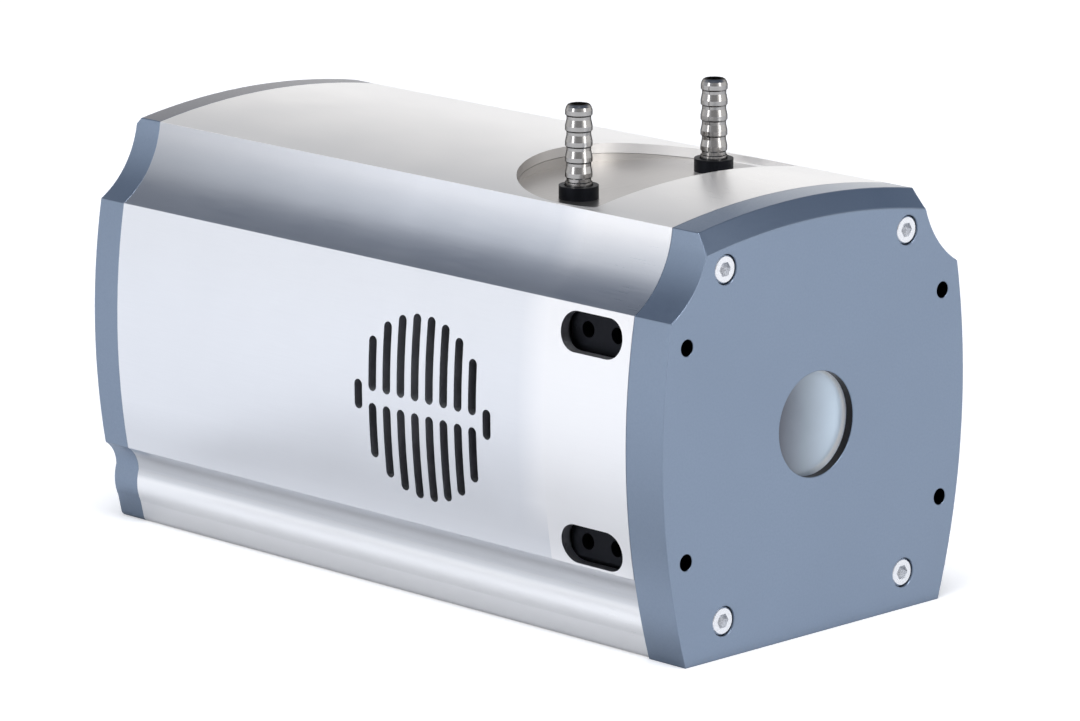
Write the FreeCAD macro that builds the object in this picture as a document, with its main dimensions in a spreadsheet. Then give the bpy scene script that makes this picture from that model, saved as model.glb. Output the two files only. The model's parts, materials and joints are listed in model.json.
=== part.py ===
"""Deep-cooled astronomy camera with a water and fan cooled heat sink, in millimetres.

The origin is the centre of the window aperture in the front plate's face.
-Y looks out through the window, +Y runs back along the casing and +Z is up.
Each sub-part is built about its own front face and then placed along Y.
"""
import FreeCAD, Part
import math
import os

import Sketcher
from FreeCAD import Placement, Rotation, Vector

doc = FreeCAD.newDocument("CooledCamera")

# ---------------------------------------------------------------- driving dimensions

DIMENSIONS = {
    # outline of the casing, right half, from the top ridge round to the flat base
    "ridge_x": 46.0, "ridge_z": 63.9, "top_radius": 260.0,
    "shoulder_x": 61.5, "shoulder_z": 40.1, "cove_radius": 30.7,
    "side_radius": 219.0, "skirt_x": 61.3, "skirt_z": -38.8, "groove_radius": 9.0,
    "rail_x": 57.0, "rail_high_z": -46.5, "rail_radius": 14.0,
    "rail_low_x": 56.4, "rail_low_z": -57.0,
    "heel_x": 55.2, "heel_z": -62.2, "heel_radius": 2.2, "base_x": 53.4, "base_z": -64.0,
    "toe_x": 55.0, "wall": 3.0,
    # lengths along the camera
    "plate_depth": 15.0, "housing_length": 34.0, "casing_length": 190.0, "rear_depth": 11.0,
    # front plate
    "bevel_depth": 4.5, "bevel_drop": 5.8, "aperture_radius": 16.0, "lip": 3.0,
    "window_radius": 20.0, "window_thick": 4.0, "mount_hole_x": 55.0, "mount_hole_z": 32.0,
    "mount_hole_radius": 2.5, "mount_hole_depth": 12.0,
    "cover_screw_x": 39.0, "cover_screw_z": 52.7, "screw_radius": 2.5,
    "head_radius": 4.25, "head_height": 5.0, "head_gap": 0.3,
    # obround windows in the front housing and the tapped holes behind them
    "oval_y": 16.2, "oval_z": 32.0, "oval_length": 25.2, "oval_height": 12.1,
    "side_hole_pitch": 12.0, "side_hole_radius": 2.5, "side_hole_depth": 12.0,
    # sensor chamber
    "chamber_x": 58.0, "chamber_z": 38.0, "chamber_top_x": 43.5, "chamber_top_z": 58.5,
    "chamber_low_x": 50.0, "chamber_low_z": -58.0, "chamber_depth": 29.0,
    "boss_radius": 19.7, "boss_height": 6.2, "throat_radius": 15.2, "throat_depth": 8.0,
    "cavity_radius": 33.0, "seal_thick": 1.4, "seal_width": 2.0,
    "die_size": 14.0, "package_x": 34.0, "package_z": 30.0,
    # heat sink, manifold and hose barbs
    "sink_x": 46.0, "sink_top_z": 50.0, "sink_low_z": -52.0, "sink_depth": 12.0,
    "fin_thick": 1.6, "fin_pitch": 5.2, "fin_length": 75.0, "fin_x": 41.0,
    "manifold_x": 35.0, "manifold_z": 38.0, "manifold_height": 18.0, "manifold_depth": 26.0,
    "recess_radius": 45.0, "recess_y": 13.0, "deck_z": 62.0, "deck_thick": 3.5,
    "barb_x": 28.95, "barb_y": 70.35, "barb_bore": 2.25, "barb_radius": 4.1,
    "barb_pitch": 4.7, "shank_radius": 4.8, "shank_length": 14.0, "root_height": 5.0,
    "collar_radius": 6.0, "collar_height": 4.0,
    # fan and its grille
    "fan_y": 100.6, "fan_z": -1.7, "fan_size": 60.0, "fan_depth": 15.0, "fan_face": -42.6,
    "fan_bore": 28.6, "blade_tip": 27.9, "hub_radius": 14.0, "hub_length": 11.0,
    "shaft_radius": 1.5, "bearing_clearance": 0.05, "fan_hole": 25.0,
    "grille_radius": 28.7, "slot_pitch": 6.17, "slot_radius": 1.7, "bar_half": 1.85,
    "short_slot": 4.6,
    # chassis rods and circuit boards
    "rod_x": 41.0, "rod_z": 47.0, "rod_radius": 3.0, "board_x": 47.0, "board_z": 52.0,
    "board_thick": 1.6, "board_start": 150.0, "board_pitch": 30.0,
}


class Size:
    """A length read from the sheet or worked out from it: its number and its formula."""

    def __init__(self, value, formula):
        self.value = value
        self.formula = formula

    def _join(self, sign, other, value, swap=False):
        left, right = (formula(other), self.formula) if swap else (self.formula, formula(other))
        return Size(value, f"({left} {sign} {right})")

    def __add__(self, other):
        return self._join("+", other, self.value + number(other))

    def __radd__(self, other):
        return self._join("+", other, number(other) + self.value, swap=True)

    def __sub__(self, other):
        return self._join("-", other, self.value - number(other))

    def __rsub__(self, other):
        return self._join("-", other, number(other) - self.value, swap=True)

    def __mul__(self, other):
        return self._join("*", other, self.value * number(other))

    __rmul__ = __mul__

    def __truediv__(self, other):
        return self._join("/", other, self.value / number(other))

    def __neg__(self):
        return Size(-self.value, f"(-1 * {self.formula})")


def number(size):
    return size.value if isinstance(size, Size) else float(size)


def formula(size):
    return size.formula if isinstance(size, Size) else f"({float(size):.6f})"


def side_of_triangle(hypotenuse, leg):
    value = math.sqrt(number(hypotenuse) ** 2 - number(leg) ** 2)
    return Size(value, f"sqrt({formula(hypotenuse)}^2 - {formula(leg)}^2)")


class Dims:
    """The sheet's cells by alias."""


sheet = doc.addObject("Spreadsheet::Sheet", "Dims")
for row, (alias, value) in enumerate(DIMENSIONS.items(), start=1):
    sheet.set(f"A{row}", alias)
    sheet.set(f"B{row}", str(value))
    sheet.setAlias(f"B{row}", alias)
    setattr(Dims, alias, Size(value, f"Dims.{alias}"))
doc.recompute()

housing_start = Dims.plate_depth
casing_start = housing_start + Dims.housing_length
rear_start = casing_start + Dims.casing_length
chamber_back = housing_start + Dims.chamber_depth
sink_back = chamber_back + Dims.sink_depth
deck_half_width = Dims.ridge_x - 3.3
rim_fin_z = Dims.fan_size / 2 + 4.8

# water ports between the heat sink and the manifold
PORT_X, PORT_Z, PORT_RADIUS = 18.0, 42.0, 2.6
# X and Z of the screws that hold the manifold and the heat sink
MANIFOLD_SCREWS = [(9.0, 47.5), (-9.0, 47.5)]
SINK_SCREWS = [(30.0, 45.0), (-30.0, 45.0), (30.0, -46.0), (-30.0, -46.0)]
# name, X position and barrel radius of each round socket; all sit on one level
ROUND_SOCKETS = (("power", -30.0, 8.0), ("trigger_in", 22.0, 3.1), ("trigger_out", 36.0, 3.1))
SOCKET_Z = -22.0
# half width and half height of the data socket's shell
DATA_SHELL = (7.0, 4.0)

# ---------------------------------------------------------------- helpers

PARTS = []


def bind(thing, path, size):
    """Set a property to a number, or keep it tied to the sheet."""
    thing.setExpression(path, formula(size))


def place(thing, x=0.0, y=0.0, z=0.0, axis=Vector(0, 0, 1), angle=0.0):
    spot = Vector(number(x), number(y), number(z))
    thing.Placement = Placement(spot, Rotation(axis, angle))
    for letter, size in zip("xyz", (x, y, z)):
        if isinstance(size, Size):
            bind(thing, f"Placement.Base.{letter}", size)
    return thing


def part(thing, label):
    """Name a finished sub-part, which becomes a node of its own."""
    thing.Label = label
    PARTS.append(thing)
    return thing


def box(name, x_size, y_size, z_size, x=0.0, y=0.0, z=0.0):
    """A box placed by its lowest corner."""
    thing = doc.addObject("Part::Box", name)
    for path, size in (("Length", x_size), ("Width", y_size), ("Height", z_size)):
        bind(thing, path, size)
    return place(thing, x, y, z)


def centred_box(name, x_size, y_size, z_size, x=0.0, y=0.0, z=0.0):
    """A box centred in X and Z, with its front face at y."""
    return box(name, x_size, y_size, z_size, x - x_size * 0.5, y, z - z_size * 0.5)


TURN = {"X": (Vector(0, 1, 0), 90), "Y": (Vector(1, 0, 0), -90), "Z": (Vector(0, 0, 1), 0)}


def rod(name, radius, length, x=0.0, y=0.0, z=0.0, along="Y"):
    """A cylinder that starts at the point and runs in the positive direction."""
    thing = doc.addObject("Part::Cylinder", name)
    bind(thing, "Radius", radius)
    bind(thing, "Height", length)
    return place(thing, x, y, z, *TURN[along])


def cut(name, base, *tools):
    """The base with every tool taken away."""
    thing = doc.addObject("Part::Cut", name)
    thing.Base = base
    thing.Tool = tools[0] if len(tools) == 1 else fuse(name + "_tools", *tools)
    return thing


def fuse(name, *pieces):
    thing = doc.addObject("Part::MultiFuse", name)
    thing.Shapes = list(pieces)
    return thing


def group(name, pieces):
    """Identical or related solids that stay separate inside one node."""
    thing = doc.addObject("Part::Compound", name)
    thing.Links = list(pieces)
    return thing


def body(name, x=0.0, y=0.0, z=0.0):
    return place(doc.addObject("PartDesign::Body", name), x, y, z)


def sketch_on(owner, name, plane, offset=0.0):
    """A sketch on one of the body's own planes, moved along the plane's normal."""
    sketch = owner.newObject("Sketcher::SketchObject", name)
    origin_plane = [item for item in owner.Origin.OriginFeatures if item.Role == plane][0]
    sketch.AttachmentSupport = [(origin_plane, "")]
    sketch.MapMode = "FlatFace"
    bind(sketch, "AttachmentOffset.Base.z", offset)
    return sketch


def arc_between(start, end, radius, hollow):
    """The arc from start to end, which bulges outwards or, if hollow, inwards."""
    chord = end - start
    half = chord.Length / 2
    left = Vector(-chord.y, chord.x, 0) / chord.Length
    reach = math.sqrt(radius ** 2 - half ** 2)
    centre = (start + end) / 2 + left * (-reach if hollow else reach)
    angles = [math.atan2(p.y - centre.y, p.x - centre.x) for p in (start, end)]
    if hollow:
        angles.reverse()
    return Part.ArcOfCircle(Part.Circle(centre, Vector(0, 0, 1), radius), *angles)


def draw(sketch, corners):
    """Close an outline through corners given anticlockwise as (x, y, bend, hollow).

    bend is the radius of the stretch that leaves the corner, or None for a straight one.
    Every corner and radius is held by a constraint bound to the sheet.
    """
    points = [Vector(number(x), number(y), 0) for x, y, bend, hollow in corners]
    geometry = []
    for index, (x, y, bend, hollow) in enumerate(corners):
        start, end = points[index], points[(index + 1) % len(points)]
        if bend is None:
            geometry.append(Part.LineSegment(start, end))
        else:
            geometry.append(arc_between(start, end, number(bend), hollow))
    first = sketch.GeometryCount
    sketch.addGeometry(geometry, False)
    constraints, bound = [], []
    count = len(corners)
    for index, (x, y, bend, hollow) in enumerate(corners):
        edge, before = first + index, first + (index - 1) % count
        start_of_edge = 2 if hollow else 1
        end_of_before = 1 if corners[(index - 1) % count][3] else 2
        constraints.append(Sketcher.Constraint("Coincident", before, end_of_before,
                                               edge, start_of_edge))
        for kind, size in (("DistanceX", x), ("DistanceY", y)):
            bound.append((len(constraints), size))
            constraints.append(Sketcher.Constraint(kind, -1, 1, edge, start_of_edge,
                                                   number(size)))
        if bend is not None:
            bound.append((len(constraints), bend))
            constraints.append(Sketcher.Constraint("Radius", edge, number(bend)))
    offset = sketch.ConstraintCount
    sketch.addConstraint(constraints)
    for index, size in bound:
        if isinstance(size, Size):
            bind(sketch, f"Constraints[{offset + index}]", size)
    return sketch


def mirrored(right):
    """Corners of the right half, base to top, joined to their mirror image."""
    left = []
    for index in range(len(right) - 1, -1, -1):
        x, y, bend, hollow = right[index]
        arriving = right[index - 1] if index else (None, None, None, False)
        left.append((-x, y, arriving[2], arriving[3]))
    return list(right) + left


def circle(sketch, x, y, radius):
    index = sketch.GeometryCount
    centre = Vector(number(x), number(y), 0)
    sketch.addGeometry([Part.Circle(centre, Vector(0, 0, 1), number(radius))], False)
    offset = sketch.ConstraintCount
    sketch.addConstraint([Sketcher.Constraint("DistanceX", -1, 1, index, 3, centre.x),
                          Sketcher.Constraint("DistanceY", -1, 1, index, 3, centre.y),
                          Sketcher.Constraint("Radius", index, number(radius))])
    for step, size in enumerate((x, y, radius)):
        if isinstance(size, Size):
            bind(sketch, f"Constraints[{offset + step}]", size)


def obround(sketch, start, end, radius):
    """A slot with round ends, from one end's centre to the other's."""
    first, last = (Vector(number(x), number(y), 0) for x, y in (start, end))
    run = last - first
    side = Vector(-run.y, run.x, 0) / run.Length * number(radius)
    angle = math.atan2(side.y, side.x)
    up = Vector(0, 0, 1)
    edge = sketch.GeometryCount
    sketch.addGeometry([
        Part.LineSegment(first - side, last - side),
        Part.ArcOfCircle(Part.Circle(last, up, number(radius)), angle - math.pi, angle),
        Part.LineSegment(last + side, first + side),
        Part.ArcOfCircle(Part.Circle(first, up, number(radius)), angle, angle + math.pi)], False)
    offset = sketch.ConstraintCount
    sketch.addConstraint([
        Sketcher.Constraint("DistanceX", -1, 1, edge + 3, 3, first.x),
        Sketcher.Constraint("DistanceY", -1, 1, edge + 3, 3, first.y),
        Sketcher.Constraint("DistanceX", -1, 1, edge + 1, 3, last.x),
        Sketcher.Constraint("DistanceY", -1, 1, edge + 1, 3, last.y),
        Sketcher.Constraint("Radius", edge + 1, number(radius)),
        Sketcher.Constraint("Equal", edge + 1, edge + 3),
        Sketcher.Constraint("Tangent", edge, 2, edge + 1, 1),
        Sketcher.Constraint("Tangent", edge + 1, 2, edge + 2, 1),
        Sketcher.Constraint("Tangent", edge + 2, 2, edge + 3, 1),
        Sketcher.Constraint("Tangent", edge + 3, 2, edge, 1)])
    for step, size in enumerate((*start, *end, radius)):
        if isinstance(size, Size):
            bind(sketch, f"Constraints[{offset + step}]", size)


def polygon(sketch, points):
    return draw(sketch, [(x, y, None, False) for x, y in points])


def rectangle(sketch, x_low, x_high, y_low, y_high):
    return polygon(sketch, [(x_low, y_low), (x_high, y_low), (x_high, y_high), (x_low, y_high)])


def pad(owner, name, sketch, length, reverse=False):
    feature = owner.newObject("PartDesign::Pad", name)
    feature.Profile = sketch
    bind(feature, "Length", length)
    feature.Reversed = reverse
    return feature


def pocket(owner, name, sketch, length=None, reverse=False, both=False):
    """A pocket of the given depth, or right through where no depth is given."""
    feature = owner.newObject("PartDesign::Pocket", name)
    feature.Profile = sketch
    if both:
        feature.SideType = "Symmetric"
    if length is None:
        feature.Type = "ThroughAll"
    else:
        bind(feature, "Length", length)
    feature.Reversed = reverse
    return feature


def drill(owner, name, spots, radius, depth=None, y=0.0, reverse=False):
    """Round holes along Y that start at the depth y inside the body's own frame."""
    sketch = sketch_on(owner, name + "_sketch", "XZ_Plane", -y)
    for x, z in spots:
        circle(sketch, x, z, radius)
    return pocket(owner, name, sketch, depth, reverse)


def corners_of(x, z):
    """The four corners of a rectangle centred on the Y axis."""
    return [(x, z), (-x, z), (x, -z), (-x, -z)]


def bevel(owner, name, feature, chosen, size, second=None):
    """Chamfer the edges of the feature that the test picks out."""
    doc.recompute()
    edges = [f"Edge{index}" for index, edge in enumerate(feature.Shape.Edges, start=1)
             if chosen(edge)]
    chamfer = owner.newObject("PartDesign::Chamfer", name)
    chamfer.Base = (feature, edges)
    bind(chamfer, "Size", size)
    if second is not None:
        chamfer.ChamferType = "Two distances"
        bind(chamfer, "Size2", second)
    return chamfer


def screw(name, head_radius, head_height, shank_radius, shank_length):
    """A socket-head screw whose head starts at the origin and whose shank runs along +Z."""
    edge = 0.4
    rim = doc.addObject("Part::Cone", name + "_rim")
    for path, size in (("Radius1", head_radius - edge), ("Radius2", head_radius), ("Height", edge)):
        bind(rim, path, size)
    head = rod(name + "_head", head_radius, head_height - edge, z=edge, along="Z")
    shank = rod(name + "_shank", shank_radius, shank_length + edge, z=head_height - edge, along="Z")
    socket = doc.addObject("Part::Prism", name + "_socket")
    socket.Polygon = 6
    bind(socket, "Circumradius", head_radius * 0.55)
    bind(socket, "Height", head_height * 0.55)
    return cut(name, fuse(name + "_blank", rim, head, shank), socket)


def copies(name, master, spots, axis, angle):
    """The same piece at several places, all turned the same way."""
    links = []
    for index, (x, y, z) in enumerate(spots, start=1):
        link = doc.addObject("App::Link", f"{name}_{index}")
        link.LinkedObject = master
        links.append(place(link, x, y, z, axis, angle))
    return group(name, links)


# ---------------------------------------------------------------- outlines

def casing_outline():
    """The outside of the extruded casing."""
    return mirrored([
        (Dims.base_x, Dims.base_z, Dims.heel_radius, False),
        (Dims.heel_x, Dims.heel_z, None, False),
        (Dims.rail_low_x, Dims.rail_low_z, Dims.rail_radius, False),
        (Dims.rail_x, Dims.rail_high_z, Dims.groove_radius, True),
        (Dims.skirt_x, Dims.skirt_z, Dims.side_radius, False),
        (Dims.shoulder_x, Dims.shoulder_z, Dims.cove_radius, True),
        (Dims.ridge_x, Dims.ridge_z, Dims.top_radius, False)])


def casing_hollow():
    """The inside of the extruded casing, one wall thickness further in."""
    wall = Dims.wall
    return mirrored([
        (Dims.base_x - 1.2, Dims.base_z + wall, None, False),
        (Dims.rail_low_x - wall, Dims.rail_low_z, None, False),
        (Dims.rail_x - wall, Dims.rail_high_z, None, False),
        (Dims.skirt_x - wall, Dims.skirt_z + 1.6, Dims.side_radius - wall, False),
        (Dims.shoulder_x - 2.9, Dims.shoulder_z - 1.7, Dims.cove_radius + wall, True),
        (Dims.ridge_x - 2.7, Dims.ridge_z - 2.6, Dims.top_radius - wall, False)])


def plate_outline():
    """The front plate: the casing's coves and ridges over plain curved sides."""
    return mirrored([
        (Dims.toe_x, Dims.base_z, Dims.side_radius, False),
        (Dims.shoulder_x, Dims.shoulder_z, Dims.cove_radius, True),
        (Dims.ridge_x, Dims.ridge_z, Dims.top_radius, False)])


def on_top_at(y):
    """Picks the arched top edge at the given depth."""
    def chosen(edge):
        ends = [vertex.Point for vertex in edge.Vertexes]
        level = number(Dims.ridge_z) - 0.5
        return len(ends) == 2 and all(abs(p.y - y) < 0.01 and p.z > level for p in ends) \
            and abs(ends[0].x - ends[1].x) > number(Dims.ridge_x)
    return chosen


# ---------------------------------------------------------------- front plate and window

def front_plate():
    plate = body("front_plate_body")
    blank = pad(plate, "front_plate_blank",
                draw(sketch_on(plate, "front_plate_outline", "XZ_Plane"), plate_outline()),
                Dims.plate_depth, reverse=True)
    bevel(plate, "front_plate_bevel", blank, on_top_at(0.0), Dims.bevel_depth,
          Dims.bevel_drop)
    drill(plate, "aperture", [(0.0, 0.0)], Dims.aperture_radius)
    drill(plate, "window_seat", [(0.0, 0.0)], Dims.window_radius + 0.3,
          Dims.plate_depth - Dims.lip, y=Dims.plate_depth, reverse=True)
    drill(plate, "mount_holes", corners_of(Dims.mount_hole_x, Dims.mount_hole_z),
          Dims.mount_hole_radius, Dims.mount_hole_depth)
    screw_spots = corners_of(Dims.cover_screw_x, Dims.cover_screw_z)
    drill(plate, "head_bores", screw_spots, Dims.head_radius + Dims.head_gap,
          Dims.head_height + 0.4)
    drill(plate, "screw_holes", screw_spots, Dims.screw_radius + 0.25)
    part(plate, "front_plate")

    master = screw("front_screw", Dims.head_radius, Dims.head_height, Dims.screw_radius, 20.0)
    part(copies("front_screws", master, [(x, 0.4, z) for x, z in screw_spots],
                *TURN["Y"]), "front_plate_screws")


def window():
    part(rod("window", Dims.window_radius, Dims.window_thick, y=Dims.lip), "window_disc")
    back = Dims.lip + Dims.window_thick
    seal_depth = Dims.plate_depth - Dims.boss_height - back
    inner = Dims.aperture_radius + 0.6
    part(cut("window_gasket", rod("gasket_rim", inner + Dims.seal_width, seal_depth, y=back),
             rod("gasket_bore", inner, seal_depth, y=back)), "window_seal")


# ---------------------------------------------------------------- casing

def front_housing():
    housing = body("front_housing_body", y=housing_start)
    pad(housing, "housing_blank",
        draw(sketch_on(housing, "housing_outline", "XZ_Plane"), casing_outline()),
        Dims.housing_length, reverse=True)
    pocket(housing, "housing_hollow",
           draw(sketch_on(housing, "housing_inside", "XZ_Plane"), casing_hollow()),
           Dims.housing_length - Dims.wall)
    gap = 0.8
    pocket(housing, "sink_window",
           rectangle(sketch_on(housing, "sink_window_sketch", "XZ_Plane"),
                     -Dims.sink_x - gap, Dims.sink_x + gap,
                     Dims.sink_low_z - gap, Dims.sink_top_z + gap))
    ovals = sketch_on(housing, "ovals_sketch", "YZ_Plane")
    radius = Dims.oval_height / 2
    reach = (Dims.oval_length - Dims.oval_height) / 2
    for z in (Dims.oval_z, -Dims.oval_z):
        obround(ovals, (Dims.oval_y - reach, z), (Dims.oval_y + reach, z), radius)
    pocket(housing, "ovals", ovals, both=True)
    part(housing, "front_housing")


def main_casing():
    casing = body("main_casing_body", y=casing_start)
    pad(casing, "casing_blank",
        draw(sketch_on(casing, "casing_outline", "XZ_Plane"), casing_outline()),
        Dims.casing_length, reverse=True)
    pocket(casing, "casing_hollow",
           draw(sketch_on(casing, "casing_inside", "XZ_Plane"), casing_hollow()))
    grille = sketch_on(casing, "grille_sketch", "YZ_Plane")
    columns = 10
    middle = (columns - 1) / 2
    bar = Dims.bar_half + Dims.slot_radius
    for column in range(columns):
        offset = Dims.slot_pitch * (column - middle)
        y = Dims.fan_y - casing_start + offset
        if column in (0, columns - 1):
            tip = Dims.short_slot - Dims.slot_radius
            obround(grille, (y, Dims.fan_z - tip), (y, Dims.fan_z + tip), Dims.slot_radius)
            continue
        tip = side_of_triangle(Dims.grille_radius, offset) - Dims.slot_radius
        for near, far in ((bar, tip), (-bar, -tip)):
            obround(grille, (y, Dims.fan_z + near), (y, Dims.fan_z + far), Dims.slot_radius)
    pocket(casing, "grille", grille, both=True)
    notch = sketch_on(casing, "recess_sketch", "XY_Plane", Dims.deck_z)
    circle(notch, 0.0, Dims.recess_y, Dims.recess_radius)
    pocket(casing, "recess", notch, 10.0, reverse=True)
    half = deck_half_width + 0.1
    round_end = Dims.recess_radius - 0.3
    start = side_of_triangle(round_end, half)
    opening = sketch_on(casing, "deck_opening_sketch", "XY_Plane", Dims.deck_z - Dims.deck_thick)
    draw(opening, [(-half, -1.0, None, False), (half, -1.0, None, False),
                   (half, Dims.recess_y + start, round_end, False),
                   (-half, Dims.recess_y + start, None, False)])
    pocket(casing, "deck_opening", opening, 10.0, reverse=True)
    part(casing, "main_casing")


def hose_deck():
    """The sunk floor under the hose barbs, with a rim that closes up to the casing's arch."""
    recess_y = casing_start + Dims.recess_y
    underside = Dims.deck_z - Dims.deck_thick
    recess = Dims.recess_radius
    inner, outer = recess - 0.4, recess + 2.5
    arch = body("deck_arch", y=casing_start)
    pad(arch, "deck_arch_pad",
        draw(sketch_on(arch, "deck_arch_sketch", "XZ_Plane"), mirrored([
            (deck_half_width, underside, None, False),
            (deck_half_width, Dims.ridge_z - 2.64, Dims.top_radius - Dims.wall, False)])),
        recess + outer, reverse=True)
    disc = doc.addObject("Part::Common", "deck_rim_blank")
    disc.Base = arch
    disc.Tool = rod("deck_rim_round", outer, 12.0, 0.0, recess_y, underside, "Z")
    rim = cut("deck_rim", disc, rod("deck_rim_bore", recess, 12.0, 0.0, recess_y, Dims.deck_z, "Z"))
    floor = doc.addObject("Part::Common", "deck_floor")
    floor.Base = rod("deck_floor_round", inner, Dims.deck_thick, 0.0, recess_y, underside, "Z")
    floor.Tool = box("deck_floor_sides", deck_half_width * 2, outer * 2, Dims.deck_thick,
                     -deck_half_width, recess_y - outer, underside)
    front = box("deck_front_cut", 120.0, 40.0, 20.0, -60.0, casing_start - 39.85, underside - 5)
    holes = [rod(f"deck_hole_{side}", Dims.shank_radius + 0.3, 20.0, x, Dims.barb_y,
                 underside - 5, "Z") for side, x in sides(Dims.barb_x)]
    part(cut("deck", fuse("deck_blank", rim, floor), front, *holes), "hose_deck")


def sides(x):
    return (("left", -x), ("right", x))


def rear_plate():
    plate = body("rear_plate_body", y=rear_start)
    blank = pad(plate, "rear_plate_blank",
                draw(sketch_on(plate, "rear_plate_outline", "XZ_Plane"), casing_outline()),
                Dims.rear_depth, reverse=True)
    bevel(plate, "rear_plate_bevel", blank, on_top_at(number(Dims.rear_depth)), 2.0)
    spots = corners_of(Dims.rod_x, Dims.rod_z)
    drill(plate, "rear_head_bores", spots, Dims.head_radius + Dims.head_gap,
          Dims.head_height + 0.4, y=Dims.rear_depth, reverse=True)
    drill(plate, "rear_screw_holes", spots, Dims.screw_radius - 0.25)
    for name, x, radius in ROUND_SOCKETS:
        drill(plate, f"{name}_hole", [(x, SOCKET_Z)], radius + 0.15)
    half_x, half_z = DATA_SHELL
    pocket(plate, "data_hole",
           rectangle(sketch_on(plate, "data_hole_sketch", "XZ_Plane"),
                     -half_x - 0.1, half_x + 0.1, SOCKET_Z - half_z - 0.1, SOCKET_Z + half_z + 0.1))
    part(plate, "rear_plate")
    master = screw("rear_screw", Dims.head_radius, Dims.head_height, Dims.screw_radius - 0.5, 14.0)
    face = rear_start + Dims.rear_depth - 0.4
    part(copies("rear_screws", master, [(x, face, z) for x, z in spots],
                Vector(1, 0, 0), 90), "rear_plate_screws")


# ---------------------------------------------------------------- sensor chamber

def chamber():
    block = body("chamber_body_body", y=housing_start)
    pad(block, "chamber_block",
        draw(sketch_on(block, "chamber_outline", "XZ_Plane"), mirrored([
            (Dims.chamber_low_x, Dims.chamber_low_z, None, False),
            (Dims.chamber_low_x + 2, Dims.rail_high_z - 0.5, None, False),
            (Dims.chamber_x, -Dims.chamber_z + 1.2, None, False),
            (Dims.chamber_x, Dims.chamber_z, None, False),
            (Dims.chamber_top_x + 6, Dims.chamber_z + 6.7, None, False),
            (Dims.chamber_top_x - 0.5, Dims.chamber_top_z, None, False)])),
        Dims.chamber_depth, reverse=True)
    boss = sketch_on(block, "boss_sketch", "XZ_Plane")
    circle(boss, 0.0, 0.0, Dims.boss_radius)
    pad(block, "boss", boss, Dims.boss_height)
    throat = sketch_on(block, "throat_sketch", "XZ_Plane")
    circle(throat, 0.0, 0.0, Dims.throat_radius)
    pocket(block, "throat", throat, both=True)
    drill(block, "cavity", [(0.0, 0.0)], Dims.cavity_radius,
          Dims.chamber_depth - Dims.throat_depth, y=Dims.chamber_depth, reverse=True)
    groove = sketch_on(block, "groove_sketch", "XZ_Plane", -Dims.chamber_depth)
    circle(groove, 0.0, 0.0, Dims.cavity_radius + 1.3)
    circle(groove, 0.0, 0.0, Dims.cavity_radius + 1.7 + Dims.seal_width)
    pocket(block, "seal_groove", groove, Dims.seal_thick, reverse=True)
    drill(block, "cover_taps", corners_of(Dims.cover_screw_x, Dims.cover_screw_z),
          Dims.screw_radius + 0.05, 14.0)
    drill(block, "sink_taps", SINK_SCREWS, 2.05, 10.0, y=Dims.chamber_depth, reverse=True)
    for side, sign in (("right", 1), ("left", -1)):
        face = sketch_on(block, f"side_taps_{side}_sketch", "YZ_Plane", Dims.chamber_x * sign)
        for z in (Dims.oval_z, -Dims.oval_z):
            for step in (-0.5, 0.5):
                circle(face, Dims.oval_y + Dims.side_hole_pitch * step, z, Dims.side_hole_radius)
        pocket(block, f"side_taps_{side}", face, Dims.side_hole_depth, reverse=sign < 0)
    part(block, "chamber_body")

    ring = Dims.cavity_radius + 1.5
    start = chamber_back - Dims.seal_thick
    part(cut("chamber_gasket", rod("chamber_gasket_rim", ring + Dims.seal_width, Dims.seal_thick,
                                   y=start),
             rod("chamber_gasket_bore", ring, Dims.seal_thick, y=start)), "chamber_seal")


def sensor():
    """Sensor die, its package, the cold block and a three-stage cooler against the heat sink."""
    die_y = housing_start + Dims.throat_depth + 1.0
    die_thick, package_thick, block_thick = 0.7, 3.0, 5.0
    part(centred_box("die", Dims.die_size, die_thick, Dims.die_size, y=die_y), "sensor_die")
    package_y = die_y + die_thick
    part(centred_box("package", Dims.package_x, package_thick, Dims.package_z, y=package_y),
         "sensor_package")
    block_y = package_y + package_thick
    part(centred_box("block", 26.0, block_thick, 26.0, y=block_y), "cold_block")

    stack_y = block_y + block_thick
    plate_thick, widths = 0.9, (18.0, 24.0, 30.0, 38.0)
    layer = (chamber_back - stack_y - plate_thick * len(widths)) / (len(widths) - 1)
    pieces = []
    for stage, width in enumerate(widths):
        y = stack_y + (layer + plate_thick) * stage
        pieces.append(centred_box(f"cooler_plate_{stage}", width, plate_thick, width, y=y))
        if stage == len(widths) - 1:
            continue
        pellets, pellet = 3 + stage, 2.2
        pitch = (width - 4.0) / (pellets - 1)
        for column in range(pellets):
            for row in range(pellets):
                pieces.append(box(f"pellet_{stage}_{column}_{row}", pellet, layer, pellet,
                                  column * pitch - (width - 4.0) / 2 - pellet / 2,
                                  y + plate_thick,
                                  row * pitch - (width - 4.0) / 2 - pellet / 2))
    part(fuse("cooler", *pieces), "peltier_stack")


# ---------------------------------------------------------------- heat sink and water circuit

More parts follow.
